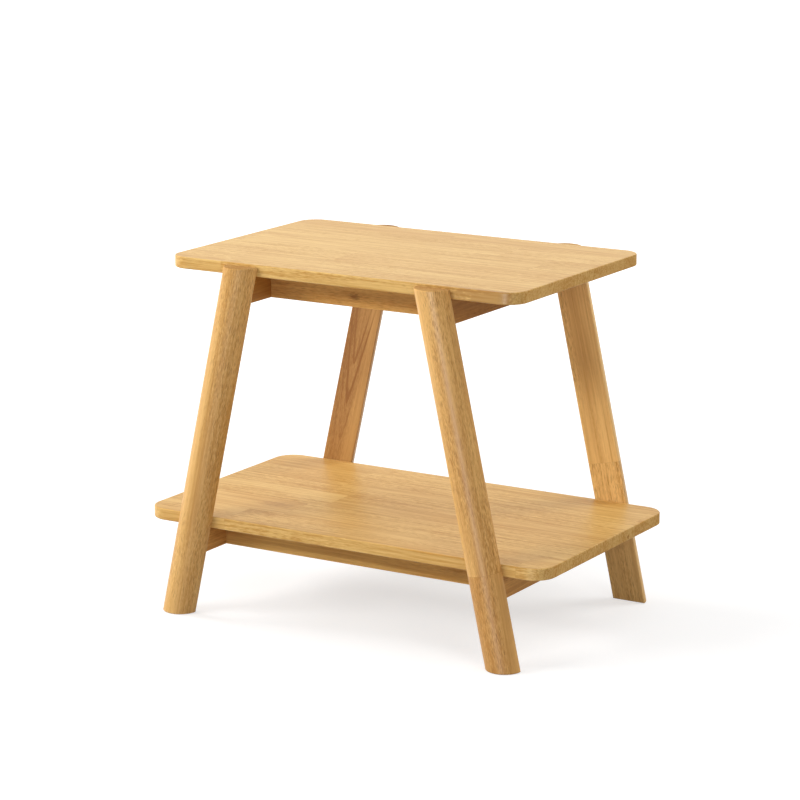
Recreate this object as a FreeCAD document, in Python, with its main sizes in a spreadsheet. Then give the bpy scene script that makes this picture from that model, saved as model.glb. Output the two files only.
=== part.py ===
import FreeCAD
import Part
import Sketcher
import math
import os

# End table with a shelf. Two boards hang between four half-round legs that splay along the length.
# Under each board a frame of two cross rails and two long rails carries it: the cross rails are
# dowelled to the legs, the long rails are dowelled to the cross rails, and screws from below hold
# the board down.
#
# Millimetres and degrees. The origin is on the floor under the middle of the table.
# X runs along the length, Y from the front to the back, Z up.

# Driving dimensions
SIZES = {
    # boards
    "table_height": 460,        # floor to the upper face of the top board
    "shelf_height": 130,        # floor to the upper face of the shelf
    "top_length": 500,
    "shelf_length": 580,
    "board_width": 330,         # both boards, and the distance between front and back legs
    "top_thickness": 15,
    "shelf_thickness": 15,
    "top_corner_radius": 26,
    "shelf_corner_radius": 28,
    "board_edge_round": 1.5,
    # legs
    "leg_splay": 12.5,          # lean from the upright, along the length only
    "leg_top_offset": 135.5,    # middle of the table to a leg's centre line, at table height
    "leg_width": 45,            # square to the leg's own length
    "leg_edge_round": 1.2,      # round both ends and along both edges of the flat inner face
    "leg_top_drop": 3,          # upper face of the top board down to the legs' upper ends
    # rails
    "rail_height": 36,
    "rail_thickness": 20,
    "rail_edge_round": 1,
    "cross_rail_inset": 2.5,    # cross rail's middle, inboard of the leg's centre line
    "long_rail_setback": 55,    # long edge of the board to the outer face of the long rail
    # dowels
    "dowel_diameter": 8,
    "dowel_length": 36,
    "dowel_chamfer": 1,
    "dowel_spacing": 16,        # between the two dowels of a joint
    "leg_dowel_seat": 12,       # length of dowel inside a leg
    "rail_dowel_seat": 11,      # length of dowel inside a cross rail's side
    "dowel_end_gap": 1,         # room for glue past each end of a dowel
    # screws
    "screw_diameter": 4,
    "screw_length": 30,         # under the head
    "screw_point": 4,
    "screw_cover": 4,           # thickness of board left over a screw hole
    "screw_end_gap": 1,         # drilled past the screw's point
    "screw_clearance": 0.5,     # shank hole in a rail, over the screw's diameter
    "head_diameter": 8,
    "head_height": 2.6,
    "head_edge_round": 0.8,
    "head_clearance": 1,        # counterbore, over the head's diameter
    "recess_width": 1.2,        # one arm of the cross recess
    "recess_length": 4.4,
    "recess_depth": 1.6,
    "cross_screw_inset": 25,    # long rail's inner face to the screw in the cross rail
    "long_screw_inset": 60,     # long rail's end to the screw in it
}

# The two tiers, and the signs of the four sides
UPPER_FACE = {"top": "Sizes.table_height", "shelf": "Sizes.shelf_height"}
SIDES = {"left": -1, "right": 1}
FACES = {"front": -1, "back": 1}

# Places and depths that several pieces share, worked out from the driving dimensions
LEG_HEIGHT = "(Sizes.table_height - Sizes.leg_top_drop)"
LEG_HALF_WIDTH = "(Sizes.leg_width / 2 / cos(Sizes.leg_splay))"
FOOT_OFFSET = "(Sizes.leg_top_offset + Sizes.table_height * tan(Sizes.leg_splay))"
LONG_RAIL_OFFSET = "(Sizes.board_width / 2 - Sizes.long_rail_setback - Sizes.rail_thickness / 2)"
CROSS_SCREW_OFFSET = f"({LONG_RAIL_OFFSET} - Sizes.rail_thickness / 2 - Sizes.cross_screw_inset)"
LEG_HOLE_DEPTH = "(Sizes.leg_dowel_seat + Sizes.dowel_end_gap)"
CROSS_END_HOLE_DEPTH = "(Sizes.dowel_length - Sizes.leg_dowel_seat + Sizes.dowel_end_gap)"
CROSS_SIDE_HOLE_DEPTH = "(Sizes.rail_dowel_seat + Sizes.dowel_end_gap)"
LONG_END_HOLE_DEPTH = "(Sizes.dowel_length - Sizes.rail_dowel_seat + Sizes.dowel_end_gap)"

# Half the size of a sketch's first draft, before its dimensions drive it
DRAFT = 10.0
SAME_PLACE = 1e-4
UP = FreeCAD.Vector(0, 0, 1)

doc = FreeCAD.newDocument("end_table")
sheet = doc.addObject("Spreadsheet::Sheet", "Sizes")
for row, (alias, value) in enumerate(SIZES.items(), 1):
    sheet.set(f"A{row}", alias)
    sheet.set(f"B{row}", str(value))
    sheet.setAlias(f"B{row}", alias)
doc.recompute()

sub_parts = []


def underside(tier):
    """Height of a board's lower face, on which its rails bear."""
    return f"({UPPER_FACE[tier]} - Sizes.{tier}_thickness)"


def rail_bottom(tier):
    """Height of the rails' lower faces under a board."""
    return f"({underside(tier)} - Sizes.rail_height)"


def rail_middle(tier):
    """Height of the middle of the rails under a board."""
    return f"({underside(tier)} - Sizes.rail_height / 2)"


def cross_rail_offset(tier):
    """Middle of the table to the middle of a cross rail, which follows the splay of the legs."""
    drop = f"(Sizes.table_height - {rail_middle(tier)})"
    return f"(Sizes.leg_top_offset + {drop} * tan(Sizes.leg_splay) - Sizes.cross_rail_inset)"


def long_rail_reach(tier):
    """Middle of the table to the end of a long rail, on the cross rail's inner face."""
    return f"({cross_rail_offset(tier)} - Sizes.rail_thickness / 2)"


def long_screw_offset(tier):
    """Middle of the table to the screws in a long rail."""
    return f"({long_rail_reach(tier)} - Sizes.long_screw_inset)"


def pilot_depth(tier):
    """Depth of the screw holes in a board."""
    return f"(Sizes.{tier}_thickness - Sizes.screw_cover)"


def counterbore_depth(tier):
    """Depth at which a screw's head bears in a rail, so that its point stops short of the pilot's end."""
    return f"(Sizes.rail_height - Sizes.screw_length + {pilot_depth(tier)} - Sizes.screw_end_gap)"


def dowel_heights(middle):
    """Heights of the two dowels of a joint."""
    return [f"({middle} + {way} * Sizes.dowel_spacing / 2)" for way in (-1, 1)]


def sheet_value(alias):
    """Plain number in the sheet."""
    return float(sheet.get(alias))


def bind(item, **expressions):
    """Bind properties to expressions. A double underscore in a keyword stands for a dot."""
    for name, expression in expressions.items():
        item.setExpression(name.replace("__", "."), expression)


def new_body(name):
    """Empty body whose label names the sub-part."""
    body = doc.addObject("PartDesign::Body", name)
    body.Label = name
    return body


def new_sketch(body, name, role, offset=None):
    """Sketch on one of the body's own planes, moved along the plane's normal by offset."""
    sketch = body.newObject("Sketcher::SketchObject", f"{body.Name}_{name}")
    support = next(item for item in body.Origin.OriginFeatures if item.Role == role)
    sketch.AttachmentSupport = [(support, "")]
    sketch.MapMode = "FlatFace"
    if offset:
        bind(sketch, AttachmentOffset__Base__z=offset)
    return sketch


def drive(sketch, name, expression, *constraint):
    """Add a dimension to a sketch and bind it."""
    index = sketch.addConstraint(Sketcher.Constraint(*constraint))
    sketch.renameConstraint(index, name)
    sketch.setExpression(f"Constraints.{name}", expression)


def place(sketch, name, geometry, point, across, up):
    """Bind a point of a sketch to its distances from the origin. None keeps it on that axis."""
    if across is None:
        sketch.addConstraint(Sketcher.Constraint("PointOnObject", geometry, point, -2))
    else:
        drive(sketch, f"{name}_across", across, "DistanceX", -1, 1, geometry, point, DRAFT)
    if up is None:
        sketch.addConstraint(Sketcher.Constraint("PointOnObject", geometry, point, -1))
    else:
        drive(sketch, f"{name}_up", up, "DistanceY", -1, 1, geometry, point, DRAFT)


def polygon(sketch, points):
    """Closed run of straight lines. Returns the index of each line."""
    vectors = [FreeCAD.Vector(x, y, 0) for x, y in points]
    ends = vectors[1:] + vectors[:1]
    lines = [sketch.addGeometry(Part.LineSegment(a, b)) for a, b in zip(vectors, ends)]
    for line, following in zip(lines, lines[1:] + lines[:1]):
        sketch.addConstraint(Sketcher.Constraint("Coincident", line, 2, following, 1))
    return lines


def rectangle(sketch, along_x, along_y):
    """Rectangle about the sketch's origin."""
    corners = [(-DRAFT, -DRAFT), (DRAFT, -DRAFT), (DRAFT, DRAFT), (-DRAFT, DRAFT)]
    bottom, right, top, left = polygon(sketch, corners)
    for line in (bottom, top):
        sketch.addConstraint(Sketcher.Constraint("Horizontal", line))
    for line in (right, left):
        sketch.addConstraint(Sketcher.Constraint("Vertical", line))
    sketch.addConstraint(Sketcher.Constraint("Symmetric", bottom, 1, top, 1, -1, 1))
    drive(sketch, "along_x", along_x, "DistanceX", bottom, 1, bottom, 2, 2 * DRAFT)
    drive(sketch, "along_y", along_y, "DistanceY", right, 1, right, 2, 2 * DRAFT)


def pad(body, sketch, length):
    """Extrude a sketch along its normal."""
    made = body.newObject("PartDesign::Pad", f"{sketch.Name}_pad")
    made.Profile = sketch
    bind(made, Length=length)
    doc.recompute()
    return made


def pocket(body, sketch, depth, reverse):
    """Cut a sketch into the body against its normal, or along it in reverse, and check that it cuts."""
    volume = body.Tip.Shape.Volume
    made = body.newObject("PartDesign::Pocket", f"{sketch.Name}_cut")
    made.Profile = sketch
    made.Reversed = reverse
    bind(made, Length=depth)
    doc.recompute()
    if not made.Shape.Volume < volume:
        raise ValueError(f"{made.Name} cuts nothing")


def drill(body, sketch, centres, diameter, depth, reverse):
    """Round holes at centres of a sketch, each a pair of expressions, or None for zero."""
    for k, (across, up) in enumerate(centres, 1):
        circle = sketch.addGeometry(Part.Circle(FreeCAD.Vector(DRAFT, DRAFT, 0), UP, DRAFT))
        drive(sketch, f"hole_{k}_diameter", diameter, "Diameter", circle, 2 * DRAFT)
        place(sketch, f"hole_{k}", circle, 3, across, up)
    pocket(body, sketch, depth, reverse)


def round_edges(body, name, radius, chosen):
    """Round those edges of the body's last feature for which chosen(edge) is true."""
    base = body.Tip
    edges = [f"Edge{k}" for k, edge in enumerate(base.Shape.Edges, 1) if chosen(edge)]
    made = body.newObject("PartDesign::Fillet", f"{body.Name}_{name}")
    made.Base = (base, edges)
    bind(made, Radius=radius)
    doc.recompute()


def level_at(edge, height):
    """True where the whole edge lies at one height of its body."""
    box = edge.BoundBox
    return abs(box.ZMin - height) < SAME_PLACE and abs(box.ZMax - height) < SAME_PLACE


def upright(edge):
    """True for a straight edge along Z."""
    box = edge.BoundBox
    return box.XLength < SAME_PLACE and box.YLength < SAME_PLACE


def board(tier):
    """Flat board with rounded corners, eased edges and pilot holes in its underside."""
    body = new_body(f"{tier}_board")
    outline = new_sketch(body, "outline", "XY_Plane")
    rectangle(outline, f"Sizes.{tier}_length", "Sizes.board_width")
    pad(body, outline, f"Sizes.{tier}_thickness")
    round_edges(body, "corners", f"Sizes.{tier}_corner_radius", upright)
    thickness = sheet_value(f"{tier}_thickness")
    round_edges(body, "edges", "Sizes.board_edge_round",
                lambda edge: level_at(edge, 0) or level_at(edge, thickness))
    centres = []
    for side in SIDES.values():
        for face in FACES.values():
            centres.append((f"{side} * {cross_rail_offset(tier)}", f"{face} * {CROSS_SCREW_OFFSET}"))
            centres.append((f"{side} * {long_screw_offset(tier)}", f"{face} * {LONG_RAIL_OFFSET}"))
    pilots = new_sketch(body, "pilots", "XY_Plane")
    drill(body, pilots, centres, "Sizes.screw_diameter", pilot_depth(tier), reverse=True)
    bind(body, Placement__Base__z=underside(tier))
    sub_parts.append(body)


def half_round(sketch):
    """Leg section: a flat side on the X axis, closed by a half circle towards -Y."""
    ends = FreeCAD.Vector(-DRAFT, 0, 0), FreeCAD.Vector(DRAFT, 0, 0)
    flat = sketch.addGeometry(Part.LineSegment(*ends))
    circle = Part.Circle(FreeCAD.Vector(0, 0, 0), UP, DRAFT)
    crown = sketch.addGeometry(Part.ArcOfCircle(circle, math.pi, 2 * math.pi))
    sketch.addConstraint([
        Sketcher.Constraint("Coincident", flat, 1, crown, 1),
        Sketcher.Constraint("Coincident", flat, 2, crown, 2),
        Sketcher.Constraint("Coincident", crown, 3, -1, 1),
        Sketcher.Constraint("Horizontal", flat),
        Sketcher.Constraint("PointOnObject", flat, 1, -1),
    ])
    drive(sketch, "half_width", LEG_HALF_WIDTH, "Radius", crown, DRAFT)


def leg(face_name, side_name):
    """Half-round leg with level ends. It leans inwards, and its flat face has the dowel holes.

    The body's own round face looks towards -Y, so the back legs are turned half round.
    """
    side = SIDES[side_name]
    face = FACES[face_name]
    inwards = side * face
    body = new_body(f"{face_name}_{side_name}_leg")
    section = new_sketch(body, "section", "XY_Plane")
    half_round(section)
    shaft = pad(body, section, LEG_HEIGHT)
    shaft.UseCustomVector = True
    shaft.AlongSketchNormal = True
    shaft.Direction = UP
    bind(shaft, Direction__x=f"{inwards} * tan(Sizes.leg_splay)")
    doc.recompute()
    round_edges(body, "edges", "Sizes.leg_edge_round", lambda edge: True)
    centres = []
    for tier in UPPER_FACE:
        across = f"{inwards} * ({FOOT_OFFSET} - {cross_rail_offset(tier)})"
        centres += [(across, up) for up in dowel_heights(rail_middle(tier))]
    dowels = new_sketch(body, "dowels", "XZ_Plane")
    drill(body, dowels, centres, "Sizes.dowel_diameter", LEG_HOLE_DEPTH, reverse=True)
    body.Placement.Rotation = FreeCAD.Rotation(UP, 0 if face_name == "front" else 180)
    bind(body, Placement__Base__x=f"{side} * {FOOT_OFFSET}",
         Placement__Base__y=f"{face} * Sizes.board_width / 2")
    sub_parts.append(body)


def rail(name, tier, along_x, along_y, screw_centres):
    """Plain rail that stands on its body's XY plane: eased lower edges, counterbored screw holes."""
    body = new_body(name)
    outline = new_sketch(body, "outline", "XY_Plane")
    rectangle(outline, along_x, along_y)
    pad(body, outline, "Sizes.rail_height")
    thickness = sheet_value("rail_thickness")
    round_edges(body, "edges", "Sizes.rail_edge_round",
                lambda edge: level_at(edge, 0) and edge.Length > thickness + SAME_PLACE)
    shanks = new_sketch(body, "shanks", "XY_Plane")
    drill(body, shanks, screw_centres, "Sizes.screw_diameter + Sizes.screw_clearance",
          "Sizes.rail_height", reverse=True)
    bores = new_sketch(body, "bores", "XY_Plane")
    drill(body, bores, screw_centres, "Sizes.head_diameter + Sizes.head_clearance",
          counterbore_depth(tier), reverse=True)
    sub_parts.append(body)
    return body


def cross_rail(tier, side_name):
    """Rail from the front leg to the back leg, with dowel holes in its ends and its inner side."""
    side = SIDES[side_name]
    body = rail(f"{tier}_{side_name}_cross_rail", tier, "Sizes.rail_thickness", "Sizes.board_width",
                [(None, f"{face} * {CROSS_SCREW_OFFSET}") for face in FACES.values()])
    heights = dowel_heights("Sizes.rail_height / 2")
    for face_name, face in FACES.items():
        # the plane's own normal points to the front
        end = new_sketch(body, f"{face_name}_end", "XZ_Plane", f"{-face} * Sizes.board_width / 2")
        drill(body, end, [(None, up) for up in heights], "Sizes.dowel_diameter",
              CROSS_END_HOLE_DEPTH, reverse=face_name == "back")
    inner = new_sketch(body, "inner_side", "YZ_Plane", f"{-side} * Sizes.rail_thickness / 2")
    centres = [(f"{face} * {LONG_RAIL_OFFSET}", up) for face in FACES.values() for up in heights]
    drill(body, inner, centres, "Sizes.dowel_diameter", CROSS_SIDE_HOLE_DEPTH,
          reverse=side_name == "right")
    bind(body, Placement__Base__x=f"{side} * {cross_rail_offset(tier)}",
         Placement__Base__z=rail_bottom(tier))


def long_rail(tier, face_name):
    """Rail between the two cross rails, with dowel holes in its ends."""
    reach = long_rail_reach(tier)
    body = rail(f"{tier}_{face_name}_long_rail", tier, f"2 * {reach}", "Sizes.rail_thickness",
                [(f"{side} * {long_screw_offset(tier)}", None) for side in SIDES.values()])
    heights = dowel_heights("Sizes.rail_height / 2")
    for side_name, side in SIDES.items():
        end = new_sketch(body, f"{side_name}_end", "YZ_Plane", f"{side} * {reach}")
        drill(body, end, [(None, up) for up in heights], "Sizes.dowel_diameter",
              LONG_END_HOLE_DEPTH, reverse=side_name == "left")
    bind(body, Placement__Base__y=f"{FACES[face_name]} * {LONG_RAIL_OFFSET}",
         Placement__Base__z=rail_bottom(tier))


def turn(body, corners):
    """Round solid about Z. Its half profile runs through corners, each a radius and a height."""
    profile = new_sketch(body, "profile", "XZ_Plane")
    lines = polygon(profile, [(DRAFT + k, k) for k in range(len(corners))])
    for k, (line, (radius, height)) in enumerate(zip(lines, corners), 1):
        place(profile, f"corner_{k}", line, 1, radius, height)
    made = body.newObject("PartDesign::Revolution", f"{body.Name}_turned")
    made.Profile = profile
    made.ReferenceAxis = (profile, ["V_Axis"])
    doc.recompute()


def dowel():
    """Wooden dowel along Z with chamfered ends, one end at the origin."""
    body = new_body("dowel")
    full = "Sizes.dowel_diameter / 2"
    narrow = f"{full} - Sizes.dowel_chamfer"
    turn(body, [
        (None, None),
        (narrow, None),
        (full, "Sizes.dowel_chamfer"),
        (full, "Sizes.dowel_length - Sizes.dowel_chamfer"),
        (narrow, "Sizes.dowel_length"),
        (None, "Sizes.dowel_length"),
    ])
    return body


def screw():
    """Pan-head wood screw that points up, with the underside of its head at the origin."""
    body = new_body("screw")
    shank = "Sizes.screw_diameter / 2"
    head = "Sizes.head_diameter / 2"
    turn(body, [
        (None, "-Sizes.head_height"),
        (f"{head} - Sizes.head_edge_round", "-Sizes.head_height"),
        (head, "Sizes.head_edge_round - Sizes.head_height"),
        (head, None),
        (shank, None),
        (shank, "Sizes.screw_length - Sizes.screw_point"),
        (None, "Sizes.screw_length"),
    ])
    for name, along_x, along_y in (
        ("recess_across", "Sizes.recess_length", "Sizes.recess_width"),
        ("recess_up", "Sizes.recess_width", "Sizes.recess_length"),
    ):
        slot = new_sketch(body, name, "XY_Plane", "-Sizes.head_height")
        rectangle(slot, along_x, along_y)
        pocket(body, slot, "Sizes.recess_depth", reverse=True)
    return body


def group(name, piece, places):
    """Separate copies of one small piece as one sub-part. A place is a rotation and three expressions."""
    links = []
    for k, (rotation, x, y, z) in enumerate(places, 1):
        link = doc.addObject("App::Link", f"{name}_{k}")
        link.setLink(piece)
        link.Placement = FreeCAD.Placement(FreeCAD.Vector(0, 0, 0), rotation)
        bind(link, Placement__Base__x=x, Placement__Base__y=y, Placement__Base__z=z)
        links.append(link)
    made = doc.addObject("Part::Compound", name)
    made.Label = name
    made.Links = links
    sub_parts.append(made)


def leg_dowels(piece, tier, side_name):
    """Dowels from one cross rail into its front leg and its back leg."""
    across = f"{SIDES[side_name]} * {cross_rail_offset(tier)}"
    places = []
    for face in FACES.values():
        rotation = FreeCAD.Rotation(FreeCAD.Vector(1, 0, 0), 90 * face)
        start = f"{face} * (Sizes.board_width / 2 + Sizes.leg_dowel_seat)"
        places += [(rotation, across, start, height) for height in dowel_heights(rail_middle(tier))]
    group(f"{tier}_{side_name}_leg_dowels", piece, places)


def rail_dowels(piece, tier, face_name):
    """Dowels from one long rail into the left and right cross rails."""
    deep = f"{FACES[face_name]} * {LONG_RAIL_OFFSET}"
    places = []
    for side in SIDES.values():
        rotation = FreeCAD.Rotation(FreeCAD.Vector(0, 1, 0), -90 * side)
        start = f"{side} * ({long_rail_reach(tier)} + Sizes.rail_dowel_seat)"
        places += [(rotation, start, deep, height) for height in dowel_heights(rail_middle(tier))]
    group(f"{tier}_{face_name}_rail_dowels", piece, places)


def board_screws(piece, tier):
    """Screws from below through each rail into a board, one group for each rail."""
    seat = f"({rail_bottom(tier)} + {counterbore_depth(tier)})"
    plain = FreeCAD.Rotation()
    for side_name, side in SIDES.items():
        across = f"{side} * {cross_rail_offset(tier)}"
        group(f"{tier}_{side_name}_cross_rail_screws", piece,
              [(plain, across, f"{face} * {CROSS_SCREW_OFFSET}", seat) for face in FACES.values()])
    for face_name, face in FACES.items():
        deep = f"{face} * {LONG_RAIL_OFFSET}"
        group(f"{tier}_{face_name}_long_rail_screws", piece,
              [(plain, f"{side} * {long_screw_offset(tier)}", deep, seat) for side in SIDES.values()])


dowel_piece = dowel()
screw_piece = screw()
for face_name in FACES:
    for side_name in SIDES:
        leg(face_name, side_name)
for tier in UPPER_FACE:
    board(tier)
    for side_name in SIDES:
        cross_rail(tier, side_name)
        leg_dowels(dowel_piece, tier, side_name)
    for face_name in FACES:
        long_rail(tier, face_name)
        rail_dowels(dowel_piece, tier, face_name)
    board_screws(screw_piece, tier)
doc.recompute()

# Every object has to be sound before anything is written
for item in doc.Objects:
    if "Invalid" in item.State or "Error" in item.State:
        raise ValueError(f"{item.Label} is {item.State}")
for item in sub_parts:
    if item.Shape.isNull() or not item.Shape.isValid() or not item.Shape.Solids:
        raise ValueError(f"{item.Label} has no sound shape")

os.makedirs("parts", exist_ok=True)
for item in sub_parts:
    item.Shape.exportStep(f"parts/{item.Label}.step")
    print(f"{item.Label}: {len(item.Shape.Solids)} solid, {item.Shape.Volume / 1000:.1f} cm3")
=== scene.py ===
# %% [markdown]
# # A splayed-leg end table in pale hardwood
#
# The table is all wood: two boards glued up from staves, four half-round legs that lean outwards, and a
# frame of rails under each board. The solids already have the right shape, down to the eased edges and the
# screw holes, so nothing here is modelled twice. What is left is the finish: how the timber was sawn,
# what its pores and rings look like at that place, and the satin lacquer over it.

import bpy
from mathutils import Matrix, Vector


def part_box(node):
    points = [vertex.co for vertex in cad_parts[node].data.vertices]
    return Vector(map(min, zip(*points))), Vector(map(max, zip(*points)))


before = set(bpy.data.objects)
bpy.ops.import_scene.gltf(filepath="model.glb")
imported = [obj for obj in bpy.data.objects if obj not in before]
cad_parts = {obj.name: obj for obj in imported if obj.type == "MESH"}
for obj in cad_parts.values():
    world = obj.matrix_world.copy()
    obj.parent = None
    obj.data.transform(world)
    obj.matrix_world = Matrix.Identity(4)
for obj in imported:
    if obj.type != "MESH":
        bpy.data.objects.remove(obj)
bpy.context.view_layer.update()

# %% [markdown]
# ## Small tools for building materials
#
# A shader is a tree of nodes. Clicking them together is fine for one material, but this table needs one for
# each piece, so the nodes are added from code. One helper adds any node and takes its inputs in order:
# a plain value is typed into the socket, and another node's output is linked to it. The helpers below it
# are for the nodes that a wood shader uses all the time.

# %% Node helpers
import math
from dataclasses import dataclass, field

import bpy
import numpy as np
from mathutils import Euler, Vector


def feed(tree, socket, value):
    """Link an output to a socket, or type a plain value into it. None leaves the socket alone."""
    if isinstance(value, bpy.types.NodeSocket):
        tree.links.new(value, socket)
    elif value is not None:
        socket.default_value = value


def add(tree, kind, *values, **settings):
    """Add a shader node of that kind, with its settings, and feed its inputs in order."""
    node = tree.nodes.new(f"ShaderNode{kind}")
    for name, value in settings.items():
        setattr(node, name, value)
    for socket, value in zip(node.inputs, values):
        feed(tree, socket, value)
    return node


def calc(tree, operation, *values):
    """One step of arithmetic on numbers."""
    return add(tree, "Math", *values, operation=operation).outputs[0]


def move(tree, operation, *values):
    """One step of arithmetic on vectors. A length comes out as a number."""
    node = add(tree, "VectorMath", *values, operation=operation)
    return node.outputs["Value" if operation == "LENGTH" else "Vector"]


def ramp(tree, value, start, end):
    """Smooth step from 0 at start to 1 at end."""
    node = add(tree, "MapRange", value, start, end, interpolation_type="SMOOTHSTEP")
    return node.outputs["Result"]


# a Mix node has a set of sockets for each kind of data, and these are the ones for colours
MIX_FIRST, MIX_SECOND, MIX_RESULT = 6, 7, 2


def mix(tree, share, first, second):
    """Colour that goes from the first to the second with share."""
    node = add(tree, "Mix", data_type="RGBA")
    feed(tree, node.inputs["Factor"], share)
    feed(tree, node.inputs[MIX_FIRST], first)
    feed(tree, node.inputs[MIX_SECOND], second)
    return node.outputs[MIX_RESULT]


def cloud(tree, place, stretch, detail, roughness=0.5):
    """Noise round 0.5. Stretch says how many lumps fit into a metre along each axis."""
    node = add(tree, "TexNoise", noise_dimensions="3D")
    feed(tree, node.inputs["Vector"], move(tree, "MULTIPLY", place, stretch))
    feed(tree, node.inputs["Scale"], 1.0)
    feed(tree, node.inputs["Detail"], detail)
    feed(tree, node.inputs["Roughness"], roughness)
    return node.outputs


def chance(tree, key):
    """Three random numbers, as a colour, that depend on the key alone."""
    return add(tree, "TexWhiteNoise", key, noise_dimensions="3D").outputs["Color"]


def display(red, green, blue):
    """Colour as a screen shows it, 0 to 255, turned into the light values that shaders use."""
    shown = np.array([red, green, blue]) / 255
    linear = np.where(shown <= 0.04045, shown / 12.92, ((shown + 0.055) / 1.055) ** 2.4)
    return (*linear.tolist(), 1.0)


print("white is", display(255, 255, 255), "and mid grey", display(128, 128, 128))

# %% [markdown]
# ## Groups
#
# What several materials share is built once as a node group, with named inputs and outputs, and placed in each
# material with its own values. These two helpers make an empty group and place one.

# %% Group helpers
SOCKET_KINDS = {1: "NodeSocketFloat", 3: "NodeSocketVector", 4: "NodeSocketColor"}


def new_group(name, inputs, outputs):
    """Empty node group with named sockets. Returns its tree, the inputs by name and the output sockets."""
    tree = bpy.data.node_groups.new(name, "ShaderNodeTree")
    for label, default in inputs.items():
        kind = SOCKET_KINDS[np.size(default)]
        tree.interface.new_socket(label, in_out="INPUT", socket_type=kind).default_value = default
    for label, kind in outputs.items():
        tree.interface.new_socket(label, in_out="OUTPUT", socket_type=f"NodeSocket{kind}")
    given = tree.nodes.new("NodeGroupInput").outputs
    result = tree.nodes.new("NodeGroupOutput").inputs
    return tree, given, result


def use(tree, group, **values):
    """Place a group in a material. Keywords name its inputs, with an underscore for a space."""
    node = tree.nodes.new("ShaderNodeGroup")
    node.node_tree = group
    for name, value in values.items():
        feed(tree, node.inputs[name.replace("_", " ").title()], value)
    return node.outputs


ORIGIN = (0.0, 0.0, 0.0)
MIDDLE = (0.5, 0.5, 0.5)
print("socket kinds:", SOCKET_KINDS)

# %% [markdown]
# ## How a board is glued up
#
# A wide board of this wood is not one plank. It is made of staves some 60 mm wide, and each stave is
# pieces butted end to end, so along the board the figure jumps where two lengths meet. A brick texture
# could draw that, but it draws lines, and what the eye sees is that every length comes from another place in
# another log. So this group works out which length a point is in, and gives back a random shift into
# the log for it, with a random tone. With its default values a piece is one length of wood.

# %% Stave layout group
SEAM_WIDTH = 0.0002
ROW_KEY = 0.5
OTHER_KEY = (7.3, 3.1, 5.7)


def stave_layout_group():
    """Row = floor of (across - first seam) / width; length = floor of (along - first joint) / length - shift.

    The shift is a random share of a length for each row, times stagger. Row and length together seed the
    random numbers for the place in the log, the tone and the blush.
    """
    tree, given, result = new_group(
        "stave_layout",
        {
            "Place": ORIGIN,
            "Stave Width": 1.0,
            "Stave Length": 2.0,
            "First Seam": -0.5,
            "First Joint": -1.0,
            "Stagger": 0.0,
            "Lowest Row": -9.0,
            "Seed": 0.0,
            "Spread": (3.0, 0.2, 0.1),
        },
        {"Cut": "Vector", "Tone": "Float", "Blush": "Float", "Seam": "Float"},
    )
    axes = add(tree, "SeparateXYZ", given["Place"]).outputs
    across = calc(tree, "DIVIDE", calc(tree, "SUBTRACT", axes["Y"], given["First Seam"]), given["Stave Width"])
    row = calc(tree, "MAXIMUM", calc(tree, "FLOOR", across), given["Lowest Row"])
    row_key = add(tree, "CombineXYZ", row, ROW_KEY, given["Seed"]).outputs[0]
    row_chance = add(tree, "SeparateColor", chance(tree, row_key)).outputs["Red"]
    shift = calc(tree, "MULTIPLY", row_chance, given["Stagger"])
    along = calc(tree, "DIVIDE", calc(tree, "SUBTRACT", axes["X"], given["First Joint"]), given["Stave Length"])
    along = calc(tree, "SUBTRACT", along, shift)
    key = add(tree, "CombineXYZ", row, calc(tree, "FLOOR", along), given["Seed"]).outputs[0]
    centred = move(tree, "SUBTRACT", chance(tree, key), MIDDLE)
    feed(tree, result["Cut"], move(tree, "MULTIPLY", centred, given["Spread"]))
    look = add(tree, "SeparateColor", chance(tree, move(tree, "ADD", key, OTHER_KEY))).outputs
    feed(tree, result["Tone"], look["Red"])
    feed(tree, result["Blush"], look["Green"])
    # distance to the nearest seam or joint, in metres
    to_seam = calc(tree, "MULTIPLY", calc(tree, "PINGPONG", across, 0.5), given["Stave Width"])
    to_joint = calc(tree, "MULTIPLY", calc(tree, "PINGPONG", along, 0.5), given["Stave Length"])
    feed(tree, result["Seam"], ramp(tree, calc(tree, "MINIMUM", to_seam, to_joint), SEAM_WIDTH, 0.0))
    return tree


stave_layout = stave_layout_group()
print("stave layout:", len(stave_layout.nodes), "nodes")

# %% [markdown]
# ## What the log looks like inside
#
# Wood is a solid pattern: the same rings run through a face, over the edge and out of the end. An image
# on each face would break at every edge, so the figure here is a function of the point in space. A log's
# rings are cones round its heart, because the tree tapers, and a flat face that cuts the cones shows them as
# nested arches. Streaks and mottling are noise that is stretched along the grain. The pores are long thin
# needles, one in each cell of a stretched Voronoi texture: on a face they show as dashes, on an end as dots.

# %% Log figure group
# lumps of noise in a metre, along the grain and across it
SWAY_LUMPS = (1.3, 7.0, 7.0)
STREAK_LUMPS = (9.0, 330.0, 330.0)
MOTTLE_LUMPS = (105.0, 650.0, 650.0)
OPEN_LUMPS = (3.0, 26.0, 26.0)
DRIFT_LUMPS = (3.0, 34.0, 34.0)
# the part of each noise that makes the whole step from 0 to 1
NOISE_LOW, NOISE_HIGH = 0.3, 0.7
OPEN_LOW, OPEN_HIGH = 0.36, 0.6
ACROSS = (0.0, 1.0, 1.0)
SWAY_SPAN = (0.0, 2.0, 2.0)
LATE_WOOD, RING_DARKEST = 0.5, 0.92
RING_FADE = 0.5
YEAR_CONTRAST = 1.5
PORE_CELL = (0.014, 0.0011, 0.0011)
PORE_EDGE, PORE_CORE = 0.36, 0.16
PORES_ALWAYS = 0.2


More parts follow.
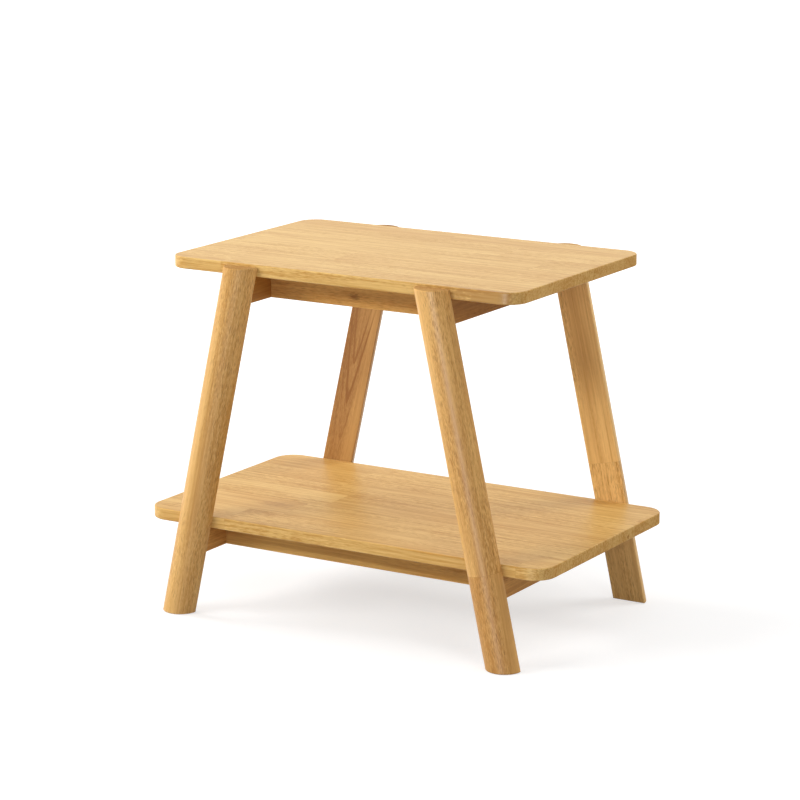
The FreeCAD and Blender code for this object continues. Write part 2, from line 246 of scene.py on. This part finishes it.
def log_figure_group():
    """Ring number = (distance from the heart + taper x along) / spacing, after noise has moved the heart about.

    Within a ring the colour darkens slowly towards late wood and drops back at once. From half the ring reach
    outwards the rings fade, and at the reach they are gone. Open is where the wood is coarse: pores and
    mottling show there and fade elsewhere.
    """
    tree, given, result = new_group(
        "log_figure",
        {
            "Place": ORIGIN,
            "Taper": 0.012,
            "Ring Spacing": 0.006,
            "Ring Reach": 9.0,
            "Wander": 0.006,
            "Mottle Lumps": MOTTLE_LUMPS,
        },
        {"Rings": "Float", "Streaks": "Float", "Mottle": "Float", "Pores": "Float", "Drift": "Float"},
    )
    sway = cloud(tree, given["Place"], SWAY_LUMPS, detail=1.0)["Color"]
    sway = move(tree, "MULTIPLY", move(tree, "SUBTRACT", sway, MIDDLE), SWAY_SPAN)
    sway = move(tree, "SCALE", sway)
    feed(tree, sway.node.inputs["Scale"], given["Wander"])
    place = move(tree, "ADD", given["Place"], sway)
    along = add(tree, "SeparateXYZ", place).outputs["X"]
    radius = move(tree, "LENGTH", move(tree, "MULTIPLY", place, ACROSS))
    cone = calc(tree, "MULTIPLY_ADD", along, given["Taper"], radius)
    ring = calc(tree, "DIVIDE", cone, given["Ring Spacing"])
    within = calc(tree, "FRACT", ring)
    late = calc(tree, "MULTIPLY", ramp(tree, within, LATE_WOOD, RING_DARKEST), ramp(tree, within, 1.0, RING_DARKEST))
    year = add(tree, "TexWhiteNoise", noise_dimensions="1D")
    feed(tree, year.inputs["W"], calc(tree, "FLOOR", ring))
    strength = calc(tree, "POWER", year.outputs["Value"], YEAR_CONTRAST)
    near = ramp(tree, calc(tree, "DIVIDE", radius, given["Ring Reach"]), 1.0, RING_FADE)
    feed(tree, result["Rings"], calc(tree, "MULTIPLY", calc(tree, "MULTIPLY", late, strength), near))
    streaks = cloud(tree, place, STREAK_LUMPS, detail=4.0, roughness=0.62)["Fac"]
    feed(tree, result["Streaks"], ramp(tree, streaks, NOISE_LOW, NOISE_HIGH))
    opened = ramp(tree, cloud(tree, place, OPEN_LUMPS, detail=1.0)["Fac"], OPEN_LOW, OPEN_HIGH)
    mottle = cloud(tree, place, given["Mottle Lumps"], detail=2.0, roughness=0.6)["Fac"]
    mottle = calc(tree, "SUBTRACT", mottle, 0.5)
    feed(tree, result["Mottle"], calc(tree, "MULTIPLY", mottle, opened))
    needle = add(tree, "TexVoronoi", voronoi_dimensions="3D", feature="F1")
    feed(tree, needle.inputs["Vector"], move(tree, "DIVIDE", place, PORE_CELL))
    feed(tree, needle.inputs["Scale"], 1.0)
    pores = ramp(tree, needle.outputs["Distance"], PORE_EDGE, PORE_CORE)
    pores_shown = calc(tree, "MULTIPLY_ADD", opened, 1.0 - PORES_ALWAYS, PORES_ALWAYS)
    feed(tree, result["Pores"], calc(tree, "MULTIPLY", pores, pores_shown))
    drift = cloud(tree, place, DRIFT_LUMPS, detail=2.0)["Fac"]
    feed(tree, result["Drift"], ramp(tree, drift, NOISE_LOW, NOISE_HIGH))
    return tree


log_figure = log_figure_group()
print("log figure:", len(log_figure.nodes), "nodes")

# %% [markdown]
# ## Knots
#
# Clear timber still has a pin knot here and there, a dark speck with a smoky rim, or a length that is simply
# stained darker. Each is a ball in space, squashed to its reach along each axis, whose distance is roughened by
# noise so that the rim is not round.

# %% Knot group
KNOT_LUMPS = (140.0, 380.0, 380.0)
KNOT_RAGGEDNESS = 1.6
KNOT_CORE = 0.3


def knot_mark_group():
    """Distance from the centre over the reach, plus noise; dark well inside 1 and gone outside it."""
    tree, given, result = new_group(
        "knot_mark",
        {"Place": ORIGIN, "Centre": ORIGIN, "Reach": (0.01, 0.01, 0.01), "Darkness": 0.5},
        {"Mask": "Float"},
    )
    away = move(tree, "DIVIDE", move(tree, "SUBTRACT", given["Place"], given["Centre"]), given["Reach"])
    ragged = calc(tree, "SUBTRACT", cloud(tree, given["Place"], KNOT_LUMPS, detail=3.0)["Fac"], 0.5)
    distance = calc(tree, "MULTIPLY_ADD", ragged, KNOT_RAGGEDNESS, move(tree, "LENGTH", away))
    feed(tree, result["Mask"], calc(tree, "MULTIPLY", ramp(tree, distance, 1.0, KNOT_CORE), given["Darkness"]))
    return tree


knot_mark = knot_mark_group()
print("knot mark:", len(knot_mark.nodes), "nodes")

# %% [markdown]
# ## From figure to colour
#
# The masks say where the wood is dense, open or pale, and this group says what colour that is. Three colours
# are enough: the pale early wood, the riper late wood and the brown of the pores. A fourth, rosier one tints
# whole staves, as it does in this timber. The cut ends drink more lacquer, so they go darker.

# %% Wood colour group
START_RIPENESS = 0.42
SEAM_DARKNESS = 0.4


def wood_colour_group():
    """Ripeness = start + each mask less its middle, times its amount; then blush, pores, ends, knots and seams."""
    colours = ("Pale", "Ripe", "Pore Brown", "Rosy")
    masks = ("Rings", "Streaks", "Mottle", "Pores", "Drift", "Tone", "Blush", "Seam", "End", "Knot")
    amounts = ("Ring Amount", "Streak Amount", "Mottle Amount", "Pore Amount", "Drift Amount", "Tone Amount",
               "Blush Amount", "End Amount")
    sockets = {name: (0.5, 0.5, 0.5, 0.5) for name in colours}
    sockets.update({name: 0.0 for name in masks + amounts})
    tree, given, result = new_group("wood_colour", sockets, {"Color": "Color"})

    def share(mask, amount):
        return calc(tree, "MULTIPLY", given[mask], amount if isinstance(amount, float) else given[amount])

    ripeness = calc(tree, "ADD", share("Rings", "Ring Amount"), START_RIPENESS)
    ripeness = calc(tree, "ADD", ripeness, share("Mottle", "Mottle Amount"))
    for mask, amount in (("Streaks", "Streak Amount"), ("Drift", "Drift Amount"), ("Tone", "Tone Amount")):
        middle = calc(tree, "SUBTRACT", given[mask], 0.5)
        ripeness = calc(tree, "MULTIPLY_ADD", middle, given[amount], ripeness)
    ripeness = add(tree, "Math", ripeness, 0.0, operation="ADD", use_clamp=True).outputs[0]
    colour = mix(tree, ripeness, given["Pale"], given["Ripe"])
    colour = mix(tree, share("Blush", "Blush Amount"), colour, given["Rosy"])
    for mask, amount in (("Pores", "Pore Amount"), ("End", "End Amount"), ("Knot", 1.0), ("Seam", SEAM_DARKNESS)):
        colour = mix(tree, share(mask, amount), colour, given["Pore Brown"])
    feed(tree, result["Color"], colour)
    return tree


wood_colour = wood_colour_group()
print("wood colour:", len(wood_colour.nodes), "nodes")

# %% [markdown]
# ## The lacquer skin
#
# Satin lacquer is thin. It fills the pores most of the way, so the surface stays a little open over them, and
# sanding between coats leaves it wavy by hundredths of a millimetre, which shows only in
# reflections. Both are a height for a Bump node. The pores are a touch duller too, and cut ends much more,
# because they soak the lacquer up.

# %% Lacquer group
WAVE_LUMPS = (14.0, 34.0, 34.0)
PORE_DIP, STREAK_RISE = -0.35, 0.1
PORE_DULLNESS = 0.12
END_DULLNESS = 0.4


def satin_lacquer_group():
    """Height = a slow wave - the pores' dip + a little streak; roughness = sheen + what pores and ends add."""
    tree, given, result = new_group(
        "satin_lacquer",
        {"Place": ORIGIN, "Pores": 0.0, "Streaks": 0.0, "End": 0.0, "Sheen": 0.3},
        {"Roughness": "Float", "Height": "Float"},
    )
    wave = cloud(tree, given["Place"], WAVE_LUMPS, detail=1.0)["Fac"]
    dip = calc(tree, "MULTIPLY_ADD", given["Pores"], PORE_DIP, wave)
    feed(tree, result["Height"], calc(tree, "MULTIPLY_ADD", given["Streaks"], STREAK_RISE, dip))
    dull = calc(tree, "MULTIPLY_ADD", given["Pores"], PORE_DULLNESS, given["Sheen"])
    feed(tree, result["Roughness"], calc(tree, "MULTIPLY_ADD", given["End"], END_DULLNESS, dull))
    return tree


satin_lacquer = satin_lacquer_group()
print("lacquer:", len(satin_lacquer.nodes), "nodes")

# %% [markdown]
# ## One recipe for every wooden piece
#
# A piece is described by its colours and by its cut. The colours, and how strongly each mark shows, are shared by
# all pieces of a kind. The cut says how one piece was sawn: which way the grain runs, where in the
# log it lay, and where lengths of wood are joined. A Mapping node turns the piece's own coordinates so
# that X always runs along the grain, and from there on every piece uses the same nodes.

# %% Cut and recipe
@dataclass
class Cut:
    """How one piece was sawn. Place is where the piece's origin lay in the log; metres."""
    turn: Euler
    origin: Vector
    place: Vector
    staves: dict = field(default_factory=dict)
    log: dict = field(default_factory=dict)
    knots: tuple = ()


BUMP_DEPTH = 0.00006
BUMP_STRENGTH = 0.6
END_FACING = (0.6, 0.95)


def hardwood(name, colours, cut, sheen, gloss):
    """Lacquered wood for one piece: turn to the grain, find the stave, draw the log, colour it, varnish it."""
    material = bpy.data.materials.new(name)
    material.use_nodes = True
    tree = material.node_tree
    shader = tree.nodes["Principled BSDF"]
    own = add(tree, "TexCoord").outputs
    turned = -(cut.turn.to_matrix() @ cut.origin)
    place = add(tree, "Mapping", own["Object"], turned, cut.turn).outputs[0]
    facing = add(tree, "Mapping", own["Normal"], None, cut.turn, vector_type="NORMAL").outputs[0]
    end = ramp(tree, calc(tree, "ABSOLUTE", add(tree, "SeparateXYZ", facing).outputs["X"]), *END_FACING)
    stave = use(tree, stave_layout, place=place, **cut.staves)
    in_log = move(tree, "ADD", move(tree, "ADD", place, stave["Cut"]), cut.place)
    figure = use(tree, log_figure, place=in_log, **cut.log)
    knot = None
    for mark in cut.knots:
        mask = use(tree, knot_mark, place=place, **mark)["Mask"]
        knot = mask if knot is None else calc(tree, "MAXIMUM", knot, mask)
    masks = {output.name.lower(): output for output in [*figure, stave["Tone"], stave["Blush"], stave["Seam"]]}
    colour = use(tree, wood_colour, **colours, **masks, end=end, knot=knot)
    skin = use(tree, satin_lacquer, place=in_log, pores=figure["Pores"], streaks=figure["Streaks"], end=end,
               sheen=sheen)
    bump = add(tree, "Bump")
    feed(tree, bump.inputs["Height"], skin["Height"])
    feed(tree, bump.inputs["Strength"], BUMP_STRENGTH)
    feed(tree, bump.inputs["Distance"], BUMP_DEPTH)
    feed(tree, shader.inputs["Base Color"], colour["Color"])
    feed(tree, shader.inputs["Roughness"], skin["Roughness"])
    feed(tree, shader.inputs["Normal"], bump.outputs[0])
    feed(tree, shader.inputs["Specular IOR Level"], gloss)
    return material


def dress(node, material):
    """Give a solid its material in place of the plain one that it came with."""
    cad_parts[node].data.materials[0] = material


print("groups:", [group.name for group in bpy.data.node_groups])

# %% [markdown]
# ## The boards
#
# Both boards have their grain along X. On the top the seams lie 66 mm apart, on the shelf 60 mm, and the
# front and back staves are whatever width was left when the board was trimmed. The seeds were picked for
# how the lengths fall: on the top a pale length meets a darker, rosier one left of the middle. Three marks are
# listed one by one: a darker end to the top's front edge, a smoky patch on the shelf and a pin knot in the shelf's
# end.

# %% Board finish
ALONG_X = Euler((0.0, 0.0, 0.0))
BOARD_GLOSS = 0.2
TOP_SHEEN, SHELF_SHEEN = 0.36, 0.4
board_colours = dict(
    pale=display(225, 187, 116),
    ripe=display(191, 142, 70),
    pore_brown=display(146, 92, 40),
    rosy=display(206, 156, 88),
    ring_amount=0.55,
    streak_amount=0.9,
    mottle_amount=2.4,
    pore_amount=0.42,
    drift_amount=0.4,
    tone_amount=0.2,
    blush_amount=0.2,
    end_amount=0.26,
)
print("board marks:", [mark for mark in board_colours if mark.endswith("amount")])

# %% Boards
IN_LOG = Vector((0.0, 0.0, 0.06))
STAVE_LENGTH = 0.42
top_staves = dict(stave_width=0.066, first_seam=-0.021, lowest_row=-2.0, seed=30584.0)
shelf_staves = dict(stave_width=0.060, first_seam=0.013, seed=49987.0)
for staves in (top_staves, shelf_staves):
    staves.update(stave_length=STAVE_LENGTH, first_joint=0.0, stagger=1.0)
top_knots = (
    dict(centre=(0.235, -0.165, -0.0075), reach=(0.14, 0.011, 0.03), darkness=0.55),
)
shelf_knots = (
    dict(centre=(-0.153, -0.072, 0.0), reach=(0.034, 0.016, 0.020), darkness=0.3),
    dict(centre=(0.290, 0.055, -0.010), reach=(0.006, 0.0035, 0.0035), darkness=0.8),
)
boards = {
    "top_board": (top_staves, top_knots, TOP_SHEEN),
    "shelf_board": (shelf_staves, shelf_knots, SHELF_SHEEN),
}
for node, (staves, knots, sheen) in boards.items():
    upper_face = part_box(node)[1][2]
    cut = Cut(ALONG_X, Vector((0.0, 0.0, upper_face)), IN_LOG, staves, knots=knots)
    dress(node, hardwood(f"{node}_wood", board_colours, cut, sheen, BOARD_GLOSS))
    print(node, "upper face at", round(upper_face, 4))

# %% [markdown]
# ## The legs
#
# A leg's grain runs up the leg, so each one is turned by its own lean. Legs are cut from darker, more open
# wood than the boards, with a finer mottle, and the pores show as short brown dashes. They come in three shades. The
# back left leg was sawn close to the heart, so its flat face has the pointed arches of the rings, tip down, and the
# rings fade away from the heart. Both right legs are two lengths joined end to end, the front one at shelf height
# and the back one just above.

# %% Leg finish
LEG_SHEEN, LEG_GLOSS = 0.42, 0.22
leg_colours = dict(
    pale=display(227, 179, 109),
    ripe=display(178, 125, 62),
    pore_brown=display(112, 68, 28),
    rosy=display(196, 142, 78),
    ring_amount=0.35,
    streak_amount=0.5,
    mottle_amount=2.4,
    pore_amount=0.6,
    drift_amount=0.6,
    tone_amount=0.25,
    blush_amount=0.4,
    end_amount=0.42,
)
light_colours = leg_colours | dict(pale=display(240, 199, 128), ripe=display(192, 144, 77))
heart_colours = leg_colours | dict(
    pale=display(206, 161, 98),
    ripe=display(150, 102, 55),
    ring_amount=0.9,
    streak_amount=0.25,
    mottle_amount=1.0,
    pore_amount=0.3,
    blush_amount=0.0,
)
print("leg shades, ripe wood:", [colours["ripe"][:3] for colours in (leg_colours, light_colours, heart_colours)])

# %% Leg cuts
LEG_SPLAY = math.radians(12.5)
LEG_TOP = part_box("front_left_leg")[1][2]
BOARD_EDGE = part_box("top_board")[1][1]
LEG_STOCK = 0.6
fine_log = dict(mottle_lumps=(170.0, 900.0, 900.0))
heart_log = fine_log | dict(taper=-0.107, ring_spacing=0.0061, ring_reach=0.024, wander=0.0015)


def leg_cut(face, side, place, staves, log=fine_log):
    """Cut of a leg: X up along the lean, with its origin at the middle of the flat face on the floor."""
    (low, *_), (high, *_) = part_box(f"{face}_{side}_leg")
    half_foot = (high - low - LEG_TOP * math.tan(LEG_SPLAY)) / 2
    sign = 1 if side == "right" else -1
    foot = high - half_foot if side == "right" else low + half_foot
    turn = Euler((0.0, math.radians(90) + sign * LEG_SPLAY, 0.0))
    depth = BOARD_EDGE if face == "back" else -BOARD_EDGE
    return Cut(turn, Vector((foot, depth, 0.0)), Vector(place), staves, log)


def joined(height, seed):
    """Two lengths of wood, joined at that height above the floor."""
    return dict(stave_length=LEG_STOCK, first_joint=height / math.cos(LEG_SPLAY), seed=seed)


print("legs lean", round(math.degrees(LEG_SPLAY), 1), "degrees and end at", round(LEG_TOP, 4))

# %% Legs
# colours, place in the log, how the lengths lie, and the log itself where it is not the fine one
legs = {
    ("front", "left"): (light_colours, (5.05, 0.015, 0.005), dict(seed=105.0)),
    ("front", "right"): (leg_colours, (6.71, 0.041, -0.013), joined(0.117, 5039.0)),
    ("back", "left"): (heart_colours, (26.7887, -0.004, -0.003), dict(spread=ORIGIN), heart_log),
    ("back", "right"): (light_colours, (4.22, 0.002, 0.014), joined(0.179, 1823.0)),
}
for (face, side), (colours, *sawn) in legs.items():
    cut = leg_cut(face, side, *sawn)
    dress(f"{face}_{side}_leg", hardwood(f"{face}_{side}_leg_wood", colours, cut, LEG_SHEEN, LEG_GLOSS))
    print(face, side, "leg foot at", [round(v, 4) for v in cut.origin])

# %% [markdown]
# ## The rails
#
# The rails are the same timber as the legs, plainly sawn and with less lacquer. Long rails have their grain along
# X, cross rails along Y. Each gets its own place in the log, so no two rails match. The cross rails under the
# top carry a painted shade, darker colours for the shade under the top, and those under the shelf a painted
# light, lighter colours for the light that reaches them. The front long rail under the top has a small knot near
# its middle.

# %% Rails
ALONG_Y = Euler((0.0, 0.0, math.radians(-90)))
RAIL_SHEEN, RAIL_GLOSS = 0.55, 0.12
rail_colours = leg_colours | dict(
    pale=display(238, 190, 111),
    ripe=display(187, 128, 60),
    mottle_amount=1.4,
    pore_amount=0.4,
)
# painted shade: cross rails under the top are darker for the shade under the top; painted light: those under the
# shelf are lighter
top_cross_painted_shade_colours = rail_colours | dict(pale=display(184, 132, 62), ripe=display(138, 85, 31))
shelf_cross_painted_light_colours = rail_colours | dict(pale=display(226, 171, 96), ripe=display(172, 114, 52))
rail_knots = {
    "top_front_long_rail": (dict(centre=(-0.007, -0.010, -0.005), reach=(0.011, 0.006, 0.006), darkness=0.6),),
}
LOG_STEP, LOG_SIDE, LOG_RISE = 0.7, 0.05, 0.02
RAIL_SEED = 20.0


def rail_finish(name):
    """Turn of the grain, and colours, for a rail of that name."""
    if "long" in name:
        return ALONG_X, rail_colours
    # cross rails get the painted shade under the top, or the painted light under the shelf
    return ALONG_Y, shelf_cross_painted_light_colours if name.startswith("shelf") else top_cross_painted_shade_colours


rails = sorted(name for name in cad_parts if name.endswith("_rail"))
for count, name in enumerate(rails, 1):
    low, high = (Vector(corner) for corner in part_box(name))
    turn, colours = rail_finish(name)
    log_place = Vector((LOG_STEP * count, LOG_SIDE, LOG_RISE * (count % 3)))
    cut = Cut(turn, (low + high) / 2, log_place, dict(seed=RAIL_SEED + count), knots=rail_knots.get(name, ()))
    dress(name, hardwood(f"{name}_wood", colours, cut, RAIL_SHEEN, RAIL_GLOSS))
print("rails:", len(rails))

# %% [markdown]
# ## Dowels and screws
#
# Both are hidden in the finished table: the dowels all the way, the screws down their counterbores. They
# still get real finishes, because the table can be looked at from below or taken apart. The dowels are
# bare wood, dull and with little figure. The screws are zinc plated: a grey metal
# with a faint cloudy bloom and fine turned marks.

# %% Zinc plate
ZINC_LIGHT, ZINC_DARK = display(196, 198, 200), display(158, 160, 160)
BLOOM_LUMPS = (420.0, 420.0, 420.0)
TURNED_LUMPS = (300.0, 300.0, 6000.0)
ZINC_ROUGHNESS, TURNED_ROUGHNESS = 0.2, 0.25


def zinc_plate(name):
    """Metal whose roughness comes from turned marks, bands across Z, and whose colour has a slow cloud."""
    material = bpy.data.materials.new(name)
    material.use_nodes = True
    tree = material.node_tree
    shader = tree.nodes["Principled BSDF"]
    place = add(tree, "TexCoord").outputs["Object"]
    bloom = cloud(tree, place, BLOOM_LUMPS, detail=2.0)["Fac"]
    turned = cloud(tree, place, TURNED_LUMPS, detail=1.0)["Fac"]
    feed(tree, shader.inputs["Base Color"], mix(tree, bloom, ZINC_LIGHT, ZINC_DARK))
    feed(tree, shader.inputs["Metallic"], 1.0)
    roughness = calc(tree, "MULTIPLY_ADD", turned, TURNED_ROUGHNESS, ZINC_ROUGHNESS)
    feed(tree, shader.inputs["Roughness"], roughness)
    return material


zinc = zinc_plate("screw_zinc")
print("zinc plate:", len(zinc.node_tree.nodes), "nodes")

# %% Dowels and screws
DOWEL_SHEEN, DOWEL_GLOSS = 0.7, 0.2
DOWEL_IN_LOG = Vector((0.0, 0.05, 0.02))
dowel_colours = leg_colours | dict(pale=display(226, 190, 140), ripe=display(200, 156, 104), pore_amount=0.25)
small_parts = {"screws": 0, "dowels": 0}
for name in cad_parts:
    if name.endswith("_screws"):
        dress(name, zinc)
        small_parts["screws"] += 1
    if name.endswith("_dowels"):
        low, high = (Vector(corner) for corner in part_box(name))
        turn = ALONG_Y if "leg" in name else ALONG_X
        cut = Cut(turn, (low + high) / 2, DOWEL_IN_LOG)
        dress(name, hardwood(f"{name}_wood", dowel_colours, cut, DOWEL_SHEEN, DOWEL_GLOSS))
        small_parts["dowels"] += 1
print("groups of small parts:", small_parts)

# %% [markdown]
# ## Floor
#
# The table stands on a pale floor that runs on to the horizon. A floor that is white through light alone would
# burn out the table, so the floor adds some white of its own for rays from the camera and in
# reflections. The glow is weaker near the table, so the table keeps its soft shadow, and grows with
# distance, where the lamps no longer reach. From below the floor is clear, and it lies a hair under the feet, so
# that the two faces do not fight for the same place.

# %% Floor
FLOOR_HALF = 30.0
FLOOR_LEVEL = -0.0005
FLOOR_GREY = (0.5, 0.5, 0.5, 1.0)
WHITE = (1.0, 1.0, 1.0, 1.0)
GLOW_NEAR, GLOW_FAR = 0.6, 1.0
GLOW_START, GLOW_END = 0.5, 3.0


def seen(tree):
    """1 for rays from the camera, from gloss and through glass, and 0 for the rays that light things."""
    ray = add(tree, "LightPath").outputs
    most = calc(tree, "MAXIMUM", ray["Is Camera Ray"], ray["Is Glossy Ray"])
    return calc(tree, "MAXIMUM", most, ray["Is Transmission Ray"])


def floor_paint():
    """Matt paint whose glow, for seen rays only, goes from near to far with the distance from the table."""
    material = bpy.data.materials.new("floor_white")
    material.use_nodes = True
    tree = material.node_tree
    shader = tree.nodes["Principled BSDF"]
    away = move(tree, "LENGTH", add(tree, "TexCoord").outputs["Object"])
    glow = calc(tree, "MULTIPLY_ADD", ramp(tree, away, GLOW_START, GLOW_END), GLOW_FAR - GLOW_NEAR, GLOW_NEAR)
    feed(tree, shader.inputs["Base Color"], FLOOR_GREY)
    feed(tree, shader.inputs["Roughness"], 1.0)
    feed(tree, shader.inputs["Specular IOR Level"], 0.0)
    feed(tree, shader.inputs["Emission Color"], WHITE)
    feed(tree, shader.inputs["Emission Strength"], calc(tree, "MULTIPLY", seen(tree), glow))
    clear = add(tree, "BsdfTransparent").outputs[0]
    below = add(tree, "NewGeometry").outputs["Backfacing"]
    both = add(tree, "MixShader", below, shader.outputs[0], clear).outputs[0]
    feed(tree, tree.nodes["Material Output"].inputs["Surface"], both)
    return material


corners = np.array([(-1, -1, 0), (1, -1, 0), (1, 1, 0), (-1, 1, 0)]) * FLOOR_HALF + (0, 0, FLOOR_LEVEL)
floor_mesh = bpy.data.meshes.new("floor")
floor_mesh.from_pydata(corners.tolist(), [], [(0, 1, 2, 3)])
floor_mesh.materials.append(floor_paint())
floor = bpy.data.objects.new("floor", floor_mesh)
bpy.context.collection.objects.link(floor)
print("floor:", 2 * FLOOR_HALF, "m square")

# %% [markdown]
# ## Light
#
# The key is a long soft box in front at the left, low enough to reach under the top, so the rail there is
# lit along its lower half and shaded by the board above. It is wide, which blurs the shadows that the legs throw
# on the shelf, but not tall, which keeps the edge of that shade. A box at the left gives the round legs their bright
# rims and lights the shelf, a weak one at the right keeps their other side from going dark, and two more, overhead
# and behind, light the boards evenly. Together with the white room they come to a plain level: a white card on
# the table would be just about white. The boxes are hidden from gloss. Mirrored in a lacquered top they would
# burn it out from some sides, so the white room gives the satin sheen. One low strip in front shows in gloss
# and lights nothing. It draws the silvery line down a round leg, and it stands lower than the top, so the top
# cannot mirror it.

# %% Lamps
AIM = Vector((0.0, 0.0, 0.25))
# place, width, height, power in watts
LAMPS = {
    "key_box": ((-2.57, -3.06, 2.0), 2.2, 0.6, 118.0),
    "top_box": ((0.0, 0.0, 3.5), 3.0, 3.0, 22.0),
    "left_box": ((-2.6, -0.3, 1.8), 1.2, 1.2, 49.0),
    "right_box": ((2.4, -1.6, 1.4), 1.2, 1.2, 21.0),
    "back_box": ((1.6, 2.1, 2.2), 1.4, 1.4, 38.0),
}
SHEEN_STRIP = ((1.04, -4.3, 0.24), 0.7, 0.42, 140.0)


def soft_box(name, place, width, height, power, in_gloss=False):
    """Rectangular lamp that faces the table and either lights its surfaces or shows in their gloss."""
    lamp = bpy.data.lights.new(name, "AREA")
    lamp.shape = "RECTANGLE"
    lamp.size = width
    lamp.size_y = height
    lamp.energy = power
    holder = bpy.data.objects.new(name, lamp)
    holder.location = place
    holder.visible_glossy = in_gloss
    holder.visible_diffuse = not in_gloss
    holder.rotation_euler = (AIM - Vector(place)).to_track_quat("-Z", "Y").to_euler()
    bpy.context.collection.objects.link(holder)


for name, settings in LAMPS.items():
    soft_box(name, *settings)
soft_box("sheen_strip", *SHEEN_STRIP, in_gloss=True)
print("lamps:", [*LAMPS, "sheen_strip"])

# %% [markdown]
# ## The room
#
# Round the table is a plain white room. The camera and the gloss see it as white, but as a lamp it is weak: at full
# strength it would fill every shadow, and the shade under the boards is what shows that the rails stand back.

# %% White room
ROOM_FILL = 0.27

room = bpy.data.worlds.new("white_room")
room.use_nodes = True
bpy.context.scene.world = room
tree = room.node_tree
background = tree.nodes["Background"]
feed(tree, background.inputs["Color"], WHITE)
feed(tree, background.inputs["Strength"], calc(tree, "MULTIPLY_ADD", seen(tree), 1.0 - ROOM_FILL, ROOM_FILL))
print("room fill:", ROOM_FILL)

# %% [markdown]
# ## Camera
#
# A long lens from some way off keeps the legs nearly parallel, as a catalogue picture does. The camera stands
# to the right of the front and looks a little down.

# %% Camera
CAMERA_AIM = Vector((-0.00897, 0.0, 0.2702))
CAMERA_AZIMUTH = math.radians(31.16)
CAMERA_ELEVATION = math.radians(12.99)
CAMERA_DISTANCE = 3.7666
CAMERA_LENS, SENSOR_WIDTH = 133.42, 36.0

back = Vector((
    math.sin(CAMERA_AZIMUTH) * math.cos(CAMERA_ELEVATION),
    -math.cos(CAMERA_AZIMUTH) * math.cos(CAMERA_ELEVATION),
    math.sin(CAMERA_ELEVATION),
))
lens = bpy.data.cameras.new("camera")
lens.lens = CAMERA_LENS
lens.sensor_width = SENSOR_WIDTH
camera = bpy.data.objects.new("camera", lens)
camera.location = CAMERA_AIM + back * CAMERA_DISTANCE
camera.rotation_euler = back.to_track_quat("Z", "Y").to_euler()
bpy.context.collection.objects.link(camera)
bpy.context.scene.camera = camera
bpy.context.scene.view_settings.view_transform = "Standard"
print("camera at", [round(v, 3) for v in camera.location])
